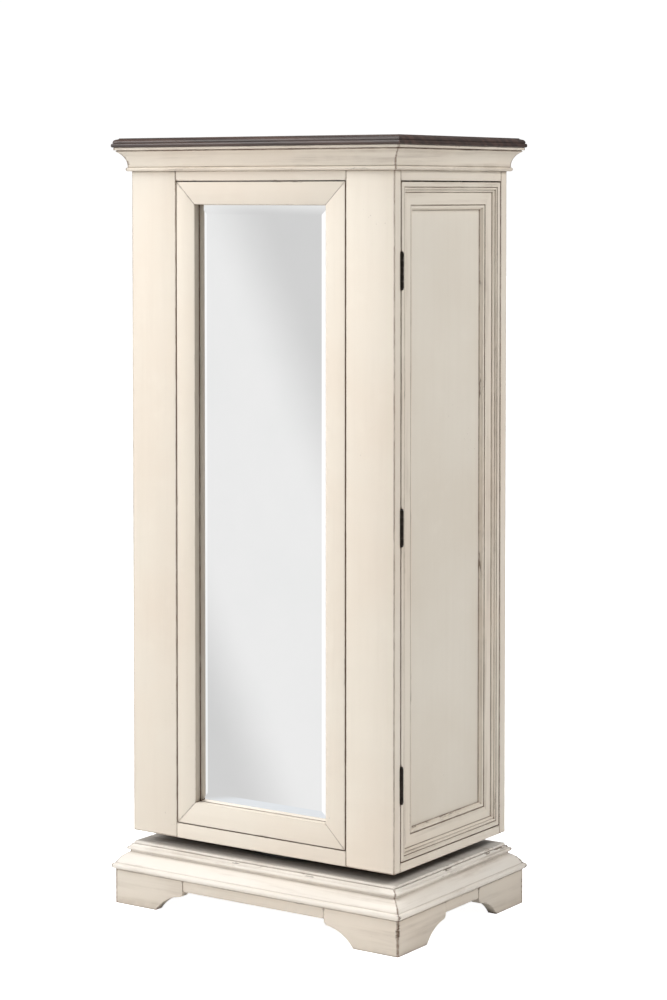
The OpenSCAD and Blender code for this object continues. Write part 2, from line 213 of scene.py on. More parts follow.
@dataclass(frozen=True)
class AntiquePaint(Finish):
    """Cream paint brushed over wood, glazed brown in its joints, darkened with painted shade in its wider hollows, and
    rubbed through on edges.

    Attributes:
        axis: The way that the brush strokes run.
        wear: How much of its worn places is rubbed through to bare wood.
        streak: How much wash the brush left.
        line: How dark the glaze is along arrises.
        reach: How far off, in mm, an arris is felt.
        rim: How open a point has to be to count as an arris.
        corner: How far, in mm, the glaze fills a tight corner.
        deep: How far, in mm, painted shade mixed with a little glaze fills a wide hollow.
        dirt: How dark that painted shade is.
    """

    axis: Axis = Axis.UP
    colour: Colour = (0.80, 0.728, 0.625)
    warm: Colour = (0.775, 0.665, 0.55)
    wash: Colour = (0.50, 0.42, 0.34)
    glaze: Colour = (0.160, 0.086, 0.045)
    bare: Colour = (0.12, 0.078, 0.052)
    wear: float = 1.0
    streak: float = 0.3
    line: float = 0.6
    reach: float = 6.0
    rim: float = 0.28
    corner: float = 3.8
    deep: float = 15.0
    dirt: float = 0.42
    shine: float = 0.3

    @cache
    def material(self) -> bpy.types.Material:
        """Writes the paint's nodes."""
        values = (self.wear, self.streak, self.line, self.reach, self.corner, self.deep, self.colour[0])
        amounts = "_".join(str(int(100 * value)) for value in values)
        recipe = Recipe(f"antique_cream_{self.axis.name.lower()}_{amounts}")
        still = recipe.place()
        strokes = recipe.strokes(self.axis, 3.0, 62, 5.0, 0.66)
        fine = recipe.strokes(self.axis, 14, 420, 2.0)
        clouds = recipe.noise(still, 3.2, 3.0)
        patches = recipe.noise(still, 17.0, 4.0, 0.6)
        paint = recipe.blend(recipe.span(clouds, 0.35, 0.7, 0.0, 0.6), self.colour, self.warm)
        pale = tuple(min(1.0, 1.05 * part) for part in self.colour)
        paint = recipe.blend(recipe.span(patches, 0.5, 0.8, 0.0, 0.3), paint, pale)
        drag = recipe.times(recipe.span(strokes, 0.42, 0.74), recipe.span(patches, 0.3, 0.65, 0.35, 1.0))
        paint = recipe.blend(recipe.times(drag, self.streak), paint, self.wash)
        broken = recipe.span(patches, 0.25, 0.62, 0.45, 1.0)
        # Glaze in tight joints, and painted shade: a softer darkening in wider hollows and under overhangs, where
        # shade falls.
        tight = recipe.span(recipe.hollows(self.corner * MM), 0.10, 0.60, 0.0, 0.96)
        soft = recipe.span(recipe.hollows(self.deep * MM), 0.22, 0.95, 0.0, self.dirt)
        glazed = recipe.times(recipe.sum("MAXIMUM", tight, soft), broken)
        paint = recipe.blend(glazed, paint, self.glaze)
        nibbles = recipe.strokes(self.axis, 34, 210, 3.0, 0.65)
        places = recipe.span(recipe.noise(recipe.place(shift=(3.1, 1.7, 0.4)), 8.0, 2.0), 0.53, 0.60, 0.0, 0.85)
        outward = recipe.edges(6 * MM)
        rubbed = recipe.times(recipe.span(outward, 0.20, 0.46), recipe.span(nibbles, 0.52, 0.58))
        rubbed = recipe.times(rubbed, recipe.times(places, self.wear))
        sharp = recipe.span(recipe.edges(self.reach * MM), self.rim, self.rim + 0.16)
        arris = recipe.times(sharp, recipe.span(nibbles, 0.3, 0.62, 0.4, 0.9))
        paint = recipe.blend(recipe.times(arris, self.line), paint, self.glaze)
        paint = recipe.blend(rubbed, paint, self.bare)
        flecks = recipe.put("TexVoronoi", {"Vector": still, "Scale": 75.0}, feature="F1")
        fleck = recipe.span(flecks.outputs["Distance"], 0.05, 0.075, 1.0, 0.0)
        sparse = recipe.span(recipe.noise(still, 9.0, 1.0), 0.62, 0.68, 0.0, 0.4)
        paint = recipe.blend(recipe.times(fleck, sparse), paint, self.bare)
        recipe.surface(Base_Color=paint)
        dull = recipe.sum("ADD", recipe.span(strokes, 0.2, 0.8, 0.46, 0.58), recipe.times(rubbed, 0.3))
        recipe.surface(Roughness=dull, Specular_IOR_Level=self.shine)
        relief = recipe.sum("SUBTRACT", recipe.blend(0.35, strokes, fine), recipe.times(rubbed, 0.6))
        recipe.bump(relief, 0.16 * MM, 0.15 + 0.5 * self.streak)
        return recipe.material


@dataclass(frozen=True)
class OpenGrainWood(Finish):
    """A stained or clear wood with growth bands, pores and a satin coat."""

    name: str
    light: Colour
    dark: Colour
    pore: Colour
    axis: Axis = Axis.ACROSS
    roughness: float = 0.34
    coat: float = 0.25
    worn: float = 0.0

    @cache
    def material(self) -> bpy.types.Material:
        """Writes the wood's nodes."""
        recipe = Recipe(f"{self.name}_{self.axis.name.lower()}")
        bands_at = recipe.place(stretched(self.axis, 0.55, 7.0), (0.3, 0.2, 0.1))
        swirl = recipe.noise(bands_at, 1.6, 3.0)
        bands = recipe.put("TexWave", {
            "Vector": bands_at, "Scale": 2.6, "Distortion": 7.0, "Detail": 3.0, "Detail Scale": 1.3,
        }, wave_type="BANDS", bands_direction="DIAGONAL").outputs["Fac"]
        streaks = recipe.strokes(self.axis, 5, 160, 4.0, 0.65)
        pores = recipe.span(recipe.strokes(self.axis, 26, 900, 2.0), 0.56, 0.68)
        wood = recipe.blend(recipe.span(bands, 0.1, 0.95), self.light, self.dark)
        wood = recipe.blend(recipe.span(swirl, 0.35, 0.7, 0.0, 0.5), wood, self.dark)
        wood = recipe.blend(recipe.span(streaks, 0.45, 0.75, 0.0, 0.55), wood, self.dark)
        wood = recipe.blend(recipe.times(pores, 0.6), wood, self.pore)
        if self.worn:
            rim = recipe.span(recipe.edges(1.6 * MM), 0.25, 0.55)
            nibbles = recipe.span(recipe.noise(recipe.place(), 60.0, 3.0), 0.4, 0.62)
            rubbed = recipe.times(recipe.times(rim, nibbles), self.worn)
            wood = recipe.blend(rubbed, wood, tuple(min(1.0, 3.2 * c) for c in self.light))
        recipe.surface(Base_Color=wood, Coat_Weight=self.coat, Coat_Roughness=0.18)
        recipe.surface(Roughness=recipe.span(streaks, 0.2, 0.8, self.roughness - 0.05, self.roughness + 0.1))
        recipe.bump(recipe.sum("SUBTRACT", recipe.times(streaks, 0.4), pores), 0.08 * MM, 0.5)
        return recipe.material


@dataclass(frozen=True)
class Metal(Finish):
    """A metal with fine tooling marks, a tarnish in its hollows and a rub on its edges."""

    name: str
    colour: Colour
    tarnish: Colour
    rub: Colour
    metallic: float = 1.0
    roughness: float = 0.35

    @cache
    def material(self) -> bpy.types.Material:
        """Writes the metal's nodes."""
        recipe = Recipe(self.name)
        still = recipe.place()
        clouds = recipe.noise(still, 60.0, 4.0, 0.6)
        grit = recipe.noise(still, 900.0, 2.0)
        metal = recipe.blend(recipe.span(clouds, 0.4, 0.7, 0.0, 0.7), self.colour, self.tarnish)
        metal = recipe.blend(recipe.span(recipe.hollows(3 * MM), 0.2, 0.9, 0.0, 0.8), metal, self.tarnish)
        metal = recipe.blend(recipe.span(recipe.edges(0.6 * MM), 0.3, 0.6, 0.0, 0.5), metal, self.rub)
        recipe.surface(Base_Color=metal, Metallic=self.metallic)
        recipe.surface(Roughness=recipe.span(clouds, 0.3, 0.8, self.roughness - 0.07, self.roughness + 0.13))
        recipe.bump(grit, 0.03 * MM, 0.4)
        return recipe.material


@dataclass(frozen=True)
class Felt(Finish):
    """Short flocked felt that lines the drawers."""

    colour: Colour = (0.085, 0.062, 0.05)
    bright: Colour = (0.15, 0.112, 0.09)

    @cache
    def material(self) -> bpy.types.Material:
        """Writes the felt's nodes."""
        recipe = Recipe("felt_lining")
        nap = recipe.noise(recipe.place(), 1400.0, 3.0, 0.7)
        brushed = recipe.noise(recipe.place((1.0, 0.35, 1.0)), 26.0, 4.0)
        cloth = recipe.blend(recipe.span(nap, 0.35, 0.7, 0.0, 0.55), self.colour, self.bright)
        cloth = recipe.blend(recipe.span(brushed, 0.42, 0.7, 0.0, 0.45), cloth, self.bright)
        recipe.surface(Base_Color=cloth, Roughness=0.95, Specular_IOR_Level=0.15)
        recipe.surface(Sheen_Weight=0.5, Sheen_Roughness=0.4)
        recipe.bump(nap, 0.35 * MM, 0.8)
        return recipe.material


@dataclass(frozen=True)
class Silvering(Finish):
    """Silvered plate glass, with the faint green of its thickness and a little dust."""

    colour: Colour = (0.945, 0.945, 0.945)
    tint: Colour = (0.925, 0.93, 0.928)

    @cache
    def material(self) -> bpy.types.Material:
        """Writes the mirror's nodes."""
        recipe = Recipe("silvered_glass")
        haze = recipe.noise(recipe.place(), 5.0, 4.0, 0.6)
        glass = recipe.blend(recipe.span(haze, 0.35, 0.75), self.colour, self.tint)
        recipe.surface(Base_Color=glass, Metallic=1.0)
        recipe.surface(Roughness=recipe.span(haze, 0.3, 0.8, 0.0, 0.035))
        return recipe.material


@dataclass(frozen=True)
class BlackBoard(Finish):
    """Black-stained fibreboard or moulded plastic, with a fine pebbled face."""

    name: str = "black_board"
    colour: Colour = (0.028, 0.025, 0.022)
    lighter: Colour = (0.06, 0.053, 0.047)
    roughness: float = 0.62

    @cache
    def material(self) -> bpy.types.Material:
        """Writes the board's nodes."""
        recipe = Recipe(self.name)
        pebbles = recipe.noise(recipe.place(), 700.0, 3.0, 0.6)
        fibres = recipe.noise(recipe.place((30, 30, 220)), 1.0, 4.0)
        board = recipe.blend(recipe.span(fibres, 0.35, 0.75), self.colour, self.lighter)
        board = recipe.blend(recipe.span(recipe.edges(1.2 * MM), 0.3, 0.6, 0.0, 0.4), board, self.lighter)
        recipe.surface(Base_Color=board)
        recipe.surface(Roughness=recipe.span(pebbles, 0.3, 0.7, self.roughness - 0.08, self.roughness + 0.1))
        recipe.bump(pebbles, 0.08 * MM, 0.6)
        return recipe.material


WALNUT = OpenGrainWood(
    "walnut", (0.078, 0.042, 0.031), (0.036, 0.020, 0.015), (0.014, 0.008, 0.006), roughness=0.37, coat=0.14, worn=1.0)
MAPLE = OpenGrainWood("maple", (0.62, 0.47, 0.30), (0.47, 0.33, 0.19), (0.30, 0.20, 0.12), roughness=0.4)
BRONZE = Metal("dark_bronze", (0.040, 0.031, 0.026), (0.014, 0.011, 0.010), (0.16, 0.11, 0.08), 0.85, 0.42)
BRASS = Metal("satin_brass", (0.72, 0.52, 0.24), (0.42, 0.29, 0.13), (0.86, 0.68, 0.38), 1.0, 0.26)
# Zinc plates darkened to near black as painted shade, so the gap under the cabinet reads dark.
ZINC = Metal("black_zinc_plate", (0.075, 0.074, 0.073), (0.040, 0.040, 0.039), (0.30, 0.30, 0.30), 1.0, 0.45)
STEEL = Metal("ground_steel", (0.70, 0.71, 0.73), (0.45, 0.45, 0.47), (0.82, 0.83, 0.84), 1.0, 0.16)


PALE, PALE_WARM = (0.875, 0.825, 0.755), (0.85, 0.775, 0.68)
# Smooth antique cream for flat boards, and the same rubbed to a brown line along the stiles' corners.
CREAM = AntiquePaint(wear=0.7, streak=0.07, line=0.35)
CORNER_CREAM = replace(CREAM, wear=0.8, line=1.0, reach=4.0, rim=0.09)
# Cream with a brushed brown wash for the side doors, wiped back to its corners on the crown.
GLAZED_CREAM = AntiquePaint(streak=0.72, line=0.9, reach=3.0)
CROWN_CREAM = replace(GLAZED_CREAM, streak=0.66, corner=2.4)
# A whiter coat for the base, with painted shadow left thick in its glaze where the cabinet stands over it, and duller
# feet.
PALE_CREAM = replace(GLAZED_CREAM, colour=PALE, warm=PALE_WARM)
PAINTED_SHADOW_CREAM = replace(PALE_CREAM, glaze=(0.075, 0.042, 0.026), deep=20.0, dirt=0.62)
FOOT_CREAM = AntiquePaint(
    colour=(0.75, 0.68, 0.585), warm=(0.72, 0.62, 0.515), streak=0.6, line=0.9, reach=4.0)
# The side doors' flat panels, and painted shade on the side and top walls between the mirror and its frame's face.
PANEL_CREAM = AntiquePaint(colour=(0.79, 0.73, 0.635), warm=(0.73, 0.655, 0.55), streak=0.05, line=0.3)
REVEAL_PAINTED_SHADE = AntiquePaint(colour=(0.60, 0.53, 0.44), warm=(0.54, 0.47, 0.38), wear=0.4)
# Dark stain: painted shade on the rim in the gap round the mirror frame, and bare stain on undersides that also paints
# the shade under the cabinet.
GAP_SHADE_STAIN = AntiquePaint(
    colour=(0.062, 0.040, 0.026), warm=(0.048, 0.031, 0.021), wash=(0.040, 0.026, 0.017),
    wear=0.0, streak=0.4, line=0.0, shine=0.0)
BLACK = BlackBoard()
LATCH_BLACK = BlackBoard("moulded_black", roughness=0.5)


# ---- workbench


def clear_bench() -> None:
    """Leaves edit mode and deselects everything."""
    if bpy.context.object and bpy.context.object.mode != "OBJECT":
        bpy.ops.object.mode_set(mode="OBJECT")
    bpy.ops.object.select_all(action="DESELECT")


def take(*parts: Mesh) -> None:
    """Selects only these parts, the first one active."""
    clear_bench()
    for part in parts:
        part.select_set(True)
    bpy.context.view_layer.objects.active = parts[0]


def edit_all(part: Mesh) -> None:
    """Opens a part for editing with all of it selected."""
    take(part)
    bpy.ops.object.mode_set(mode="EDIT")
    bpy.ops.mesh.select_mode(type="VERT")
    bpy.ops.mesh.select_all(action="SELECT")


def edit_faces(part: Mesh, wanted: Callable[[Vector, Vector], bool]) -> None:
    """Opens a part with those faces selected whose centre and normal are wanted."""
    take(part)
    bpy.ops.object.mode_set(mode="EDIT")
    bpy.ops.mesh.select_mode(type="FACE")
    bpy.ops.mesh.select_all(action="DESELECT")
    bpy.ops.object.mode_set(mode="OBJECT")
    for face in part.data.polygons:
        face.select = wanted(face.center, face.normal)
    bpy.ops.object.mode_set(mode="EDIT")


def settle(part: Mesh, matrix: Matrix | None = None) -> Mesh:
    """Moves a part by a matrix, if there is one, and puts its place into its mesh."""
    take(part)
    if matrix is not None:
        part.matrix_world = matrix @ part.matrix_world
    bpy.ops.object.transform_apply(location=True, rotation=True, scale=True)
    return part


def pull(across: float, deep: float, up: float) -> None:
    """Extrudes what is selected by a distance in mm."""
    bpy.ops.mesh.extrude_region_move(TRANSFORM_OT_translate={"value": Vector((across, deep, up)) * MM})


def tidy_mesh(part: Mesh) -> Mesh:
    """Merges a part's doubles and turns its faces outwards."""
    edit_all(part)
    bpy.ops.mesh.remove_doubles(threshold=0.002 * MM)
    bpy.ops.mesh.normals_make_consistent(inside=False)
    clear_bench()
    return part


def modify(part: Mesh, kind: str, **settings: Any) -> Mesh:
    """Adds a modifier to a part and applies it.

    Args:
        part: The part.
        kind: The modifier's type.
        settings: The modifier's properties.

    Returns:
        The part.
    """
    take(part)
    modifier = part.modifiers.new(kind.lower(), kind)
    for key, value in settings.items():
        setattr(modifier, key, value)
    bpy.ops.object.modifier_apply(modifier=modifier.name)
    return part


def ease(part: Mesh, width: float, segments: int = 2, angle: float = 40.0) -> Mesh:
    """Rounds the edges sharper than an angle, in degrees, to a width in mm, as sanding does."""
    modify(part, "BEVEL", width=width * MM, segments=segments, limit_method="ANGLE",
           angle_limit=math.radians(angle), use_clamp_overlap=True, harden_normals=False)
    return smooth(part)


def smooth(part: Mesh, angle: float = 32.0) -> Mesh:
    """Shades a part smooth except over sharp edges."""
    take(part)
    bpy.ops.object.shade_smooth_by_angle(angle=math.radians(angle))
    return part


def paint(part: Mesh, *materials: bpy.types.Material) -> Mesh:
    """Gives a part its materials."""
    part.data.materials.clear()
    for material in materials:
        part.data.materials.append(material)
    return part


def paint_faces(part: Mesh, material: bpy.types.Material, wanted: Callable[[Vector, Vector], bool]) -> Mesh:
    """Gives another material to the faces whose centre and normal are wanted."""
    part.data.materials.append(material)
    for face in part.data.polygons:
        if wanted(face.center, face.normal):
            face.material_index = len(part.data.materials) - 1
    return part


def stain_underside(part: Mesh) -> Mesh:
    """Leaves the underside of a cabinet part in dark stain, without paint, which also paints the shade in the gap
    under the cabinet.
    """
    lowest = min(vertex.co.z for vertex in part.data.vertices)
    return paint_faces(part, GAP_SHADE_STAIN.along(Axis.ACROSS), lambda centre, way: way.z < -0.9 and centre.z < lowest + MM)


def join(name: str, parts: Iterable[Mesh]) -> Mesh:
    """Joins parts, which keep their materials, into one named piece."""
    parts = list(parts)
    take(*parts)
    if len(parts) > 1:
        bpy.ops.object.join()
    piece = bpy.context.view_layer.objects.active
    piece.name = name
    piece.data.name = name
    return piece


def copy_of(part: Mesh, matrix: Matrix) -> Mesh:
    """A copy of a part, with a mesh of its own, moved into place."""
    twin = part.copy()
    twin.data = part.data.copy()
    bpy.context.scene.collection.objects.link(twin)
    return settle(twin, matrix)


def mirrored(part: Mesh) -> Mesh:
    """A part's mirror image across the middle plane."""
    return tidy_mesh(copy_of(part, Matrix.Scale(-1, 4, (1, 0, 0))))


def cut_away(part: Mesh, cutters: Sequence[Mesh]) -> Mesh:
    """Cuts tools out of a part and removes the tools."""
    tool = join("tool", cutters)
    modify(part, "BOOLEAN", operation="DIFFERENCE", solver="EXACT", object=tool)
    bpy.data.objects.remove(tool)
    return part


def block(low: Sequence[float], high: Sequence[float], name: str = "block") -> Mesh:
    """A sawn block between its lowest and its highest corner, in metres."""
    clear_bench()
    low, high = Vector(low), Vector(high)
    bpy.ops.mesh.primitive_cube_add(size=1.0, location=(low + high) / 2, scale=high - low)
    part = bpy.context.object
    part.name = name
    return settle(part)


def rod(start: Sequence[float], end: Sequence[float], radius: float, sides: int = 32) -> Mesh:
    """A turned rod of a radius between two points, in metres."""
    clear_bench()
    start, end = Vector(start), Vector(end)
    turn = Vector((0, 0, 1)).rotation_difference(end - start).to_euler()
    bpy.ops.mesh.primitive_cylinder_add(
        vertices=sides, radius=radius, depth=(end - start).length, location=(start + end) / 2, rotation=turn)
    return settle(bpy.context.object)


def draw(points: Sequence[Vector], closed: bool = True) -> Mesh:
    """Draws an outline by extruding a single point along it.

    Args:
        points: The outline's points, in metres.
        closed: Whether it is filled with a face.

    Returns:
        The outline, still open for editing and all selected.
    """
    clear_bench()
    bpy.ops.mesh.primitive_plane_add(size=MM, location=(0, 0, 0))
    part = bpy.context.object
    edit_all(part)
    bpy.ops.mesh.merge(type="CENTER")
    bpy.ops.transform.translate(value=points[0])
    for here, there in zip(points, points[1:]):
        bpy.ops.mesh.extrude_vertices_move(TRANSFORM_OT_translate={"value": there - here})
    bpy.ops.mesh.select_all(action="SELECT")
    if closed:
        bpy.ops.mesh.edge_face_add()
    return part


def arc(centre: tuple[float, float], radius: float, start: float, end: float, steps: int = 10) -> Outline:
    """Points along an arc about a centre, between two angles in degrees, in so many steps."""
    turns = [math.radians(start + (end - start) * i / steps) for i in range(steps + 1)]
    return [(centre[0] + radius * math.cos(t), centre[1] + radius * math.sin(t)) for t in turns]


def bow(start: tuple[float, float], end: tuple[float, float], sag: float, steps: int = 8) -> Outline:
    """Points along a shallow bow that swells by sag to the left of the way it runs."""
    along = Vector(end) - Vector(start)
    left = Vector((-along.y, along.x)).normalized()
    shares = [i / steps for i in range(steps + 1)]
    return [tuple(Vector(start) + along * t + left * 4 * sag * t * (1 - t)) for t in shares]


def run_moulding(name: str, outline: Outline, size: tuple[float, float], finish: Finish, ways: tuple[Axis, Axis],
                 soften: float, matrix: Matrix = Matrix.Identity(4), seam: float = SEAM) -> Mesh:
    """Runs a moulding round a rectangle in four lengths, mitred at the corners.

    Args:
        name: The piece's name.
        outline: The moulding's section, as (distance outside the rectangle, height), in mm.
        size: The rectangle's size along local X and along local Y, in mm.
        finish: Its finish, laid along each length.
        ways: The axes that local X and local Y come to lie along.
        soften: How wide its arrises are eased, in mm.
        matrix: Takes the local rectangle into place.
        seam: The gap that shows at each mitre, in mm; 0 where the mitres are filled and sanded flush.

    Returns:
        The piece.
    """
    lengths = []
    for quarter in range(4):
        span, offset = (size[0], size[1] / 2) if quarter % 2 == 0 else (size[1], size[0] / 2)
        reach = span / 2 + 2 + max(0.0, *(out for out, _ in outline))
        length = draw([Vector((-reach, out, up)) * MM for out, up in outline])
        pull(2 * reach, 0, 0)
        for way in (-1, 1):
            bpy.ops.mesh.select_all(action="SELECT")
            bpy.ops.mesh.bisect(plane_co=(way * (span / 2 - seam / 2) * MM, 0, 0), plane_no=(way, -1, 0),
                                use_fill=seam > 0, clear_outer=True, threshold=1e-7)
        tidy_mesh(length)
        turn = Matrix.Rotation(math.radians(90 * quarter), 4, "Z")
        settle(length, matrix @ turn @ Matrix.Translation((0, offset * MM, 0)))
        lengths.append(paint(length, finish.along(ways[quarter % 2])))
    ring = tidy_mesh(join(name, lengths))
    return ease(ring, soften, 2) if soften else smooth(ring)


def solids_of(node: str) -> list[Solid]:
    """The lowest and highest corner of each separate solid of a frame node, in metres."""
    mesh = frame["nodes"][node].data
    keys = [tuple(round(c * 1e5) for c in v.co) for v in mesh.vertices]
    chief: dict[tuple, tuple] = {key: key for key in keys}

    def find(key: tuple) -> tuple:
        """The chief point of the solid that a point is on."""
        while chief[key] != key:
            chief[key] = chief[chief[key]]
            key = chief[key]
        return key

    for face in mesh.polygons:
        first = find(keys[face.vertices[0]])
        for number in face.vertices[1:]:
            chief[find(keys[number])] = first
    groups: dict[tuple, list[Vector]] = {}
    for key, vertex in zip(keys, mesh.vertices):
        groups.setdefault(find(key), []).append(vertex.co)
    return [(Vector(map(min, *points)), Vector(map(max, *points))) for points in groups.values()]


def longest_axis(solid: Solid) -> Axis:
    """The axis that a solid is longest along."""
    size = solid[1] - solid[0]
    return Axis(max(range(3), key=lambda i: size[i]))


def boards_of(name: str, node: str, finish: Finish, soften: float = 0.8) -> Mesh:
    """Rebuilds a frame node's boards with sanded edges.

    Args:
        name: The piece's name.
        node: The frame node.
        finish: Its finish, laid along each board.
        soften: How wide the edges are eased, in mm.

    Returns:
        The piece.
    """
    parts = []
    for low, high in solids_of(node):
        part = ease(block(low, high), soften, 3)
        parts.append(paint(part, finish.along(longest_axis((low, high)))))
    return join(name, parts)


def hand_over(piece: Mesh, body: str, slot: str, *nodes: str) -> Mesh:
    """Sets a finished piece on its body in place of its frame nodes.

    Args:
        piece: The piece.
        body: The body that it moves with.
        slot: The record's material slot for the piece; not used.
        nodes: The frame nodes that it stands for.

    Returns:
        The piece.
    """
    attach(piece, body)
    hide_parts(*nodes)
    log.info("%s rides on %s, %d faces", piece.name, body, len(piece.data.polygons))
    return piece


# ---- sub-assemblies


@dataclass
class SwivelBase:
    """Bracket feet, apron, moulding and top board that the cabinet turns on. Sizes in mm."""

    width: float = 620.0
    depth: float = 405.0
    stands_out: float = 26.0
    foot_height: float = 67.5
    foot_floor: float = 101.0
    foot_length: float = 168.0
    board: float = 20.0
    glue_block: float = 48.0

    def foot_outline(self) -> Outline:
        """The ogee face of a foot board, as (distance from the corner, height)."""
        cusp = (self.foot_length - 9, 34.5)
        return [
            (0.0, 0.0), *bow((self.foot_floor, 0.0), cusp, 7.0, 14),
            *arc((self.foot_length - 9.5, 44.0), 9.5, -80, 0, 8),
            (self.foot_length, self.foot_height), (0.0, self.foot_height),
        ]

    def foot_board(self) -> Mesh:
        """One mitred foot board along X, its show face on Y = 0."""
        board = draw([Vector((along, 0, up)) * MM for along, up in self.foot_outline()])
        pull(0, self.board, 0)
        bpy.ops.mesh.select_all(action="SELECT")
        bpy.ops.mesh.bisect(plane_co=(0.1 * MM, 0, 0), plane_no=(-1, 1, 0), use_fill=True,
                            clear_outer=True, threshold=1e-7)
        return ease(tidy_mesh(board), 1.0, 3)

    def foot(self, name: str, across: int, deep: int) -> Mesh:
        """A foot of two boards and a glue block.

        Args:
            name: The piece's name.
            across: 1 on the right, -1 on the left.
            deep: 1 at the drawers' face, -1 at the mirror's face.

        Returns:
            The piece.
        """
        front = paint(self.foot_board(), FOOT_CREAM.along(Axis.ACROSS))
        swap = Matrix(((0, 1, 0, 0), (1, 0, 0, 0), (0, 0, 1, 0), (0, 0, 0, 1)))
        side = paint(copy_of(front, swap), FOOT_CREAM.along(Axis.DEEP))
        leg, start = self.glue_block, self.board + 0.1
        corners = [(start, start), (start + leg, start), (start, start + leg)]
        glue = draw([Vector((x, y, 5)) * MM for x, y in corners])
        pull(0, 0, self.foot_height - 5)
        paint(ease(tidy_mesh(glue), 0.8), MAPLE.along(Axis.UP))
        corner = Matrix.Translation((
            -(self.width / 2 + self.stands_out) * MM, -(self.depth / 2 + self.stands_out) * MM, 0))
        flip = Matrix.Diagonal((-across, -deep, 1, 1))
        foot = settle(join(name, [front, side, glue]), flip @ corner)
        return tidy_mesh(foot)

    def moulding(self) -> Mesh:
        """Bead, shallow cove and heavy lower bead, mitred round the top board."""
        ledge = 20.0
        board_bottom = 104.9
        outline = [
            (0.1, 118.0), (2.0, 118.0), *bow((3.0, 117.6), (6.0, 113.6), -0.5, 4),
            *arc((6.2, 109.7), 3.8, 90, -90, 12), (5.4, 105.7), (5.0, 105.0),
            *bow((5.0, 102.0), (26.5, 81.2), 2.8, 14), *arc((26.2, 75.1), 6.0, 90, -90, 16),
            (self.stands_out, 68.6), (self.stands_out, self.foot_height), (-ledge, self.foot_height),
            (-ledge, board_bottom), (0.1, board_bottom),
        ]
        size, ways = (self.width, self.depth), (Axis.ACROSS, Axis.DEEP)
        return run_moulding("base_moulding_lengths", outline, size, PALE_CREAM, ways, 0.4)

    def build(self) -> None:
        """Builds the base."""
        corners = {"front_left": (-1, -1), "front_right": (1, -1), "rear_left": (-1, 1), "rear_right": (1, 1)}
        for place, (across, deep) in corners.items():
            foot = self.foot(f"bracket_foot_{place}", across, deep)
            hand_over(foot, "base", "cream_paint", f"foot_{place}")
        hand_over(boards_of("apron_boards", "apron_rails", FOOT_CREAM, 1.0), "base", "cream_paint", "apron_rails")
        # The top board carries a painted shadow, dark where the cabinet stands over it.
        top = boards_of("base_top_board", "base_board", PAINTED_SHADOW_CREAM, 1.2)
        hand_over(top, "base", "cream_paint", "base_board")
        hand_over(self.moulding(), "base", "cream_paint", "base_moulding")


@dataclass
class Turntable:
    """Race plates, cage, balls and spacer disc between the base and the cabinet."""

    finishes: tuple[tuple[str, Finish], ...] = (
        ("turntable_lower", ZINC), ("turntable_upper", ZINC), ("ball_cage", BRASS),
        ("bearing_balls", STEEL), ("swivel_disc", BLACK),
    )

    def build(self) -> None:
        """Gives the frame's own bearing pieces their finishes."""
        for node, finish in self.finishes:
            refinish(node, finish.material())


def refinish(node: str, material: bpy.types.Material) -> None:
    """Gives a frame node that stays in view a better material."""
    part = frame["nodes"][node]
    if not part.material_slots:
        part.data.materials.append(material)
    for slot in part.material_slots:
        slot.material = material
    log.info("%s keeps its frame shape", node)


@dataclass
class Carcass:
    """Stiles, rails, partitions, bottom and top boards of the cabinet."""

    relief: float = 3.9

    def build(self) -> None:
        """Builds the carcass."""
        stiles = boards_of("front_stile_boards", "front_stiles", CORNER_CREAM, 1.3)
        stiles = cut_away(stiles, hinge_reliefs(self.relief, (Side.RIGHT, Side.LEFT)))
        hand_over(stain_underside(smooth(stiles)), "cabinet", "cream_paint", "front_stiles")
        rear = boards_of("rear_stile_boards", "rear_stiles", CORNER_CREAM, 1.3)
        hand_over(stain_underside(rear), "cabinet", "cream_paint", "rear_stiles")
        rails = [(f"{face}_rails", 0.8) for face in ("front", "rear", "side")]
        for node, soften in [*rails, ("bottom_board", 0.5), ("top_board", 0.5)]:
            board = boards_of(f"{node}_eased", node, CREAM, soften)
            hand_over(board if node == "top_board" else stain_underside(board), "cabinet", "cream_paint", node)
        for node in ("partitions", "drawer_runners"):
            hand_over(boards_of(f"{node}_planed", node, MAPLE, 0.6), "cabinet", "maple", node)


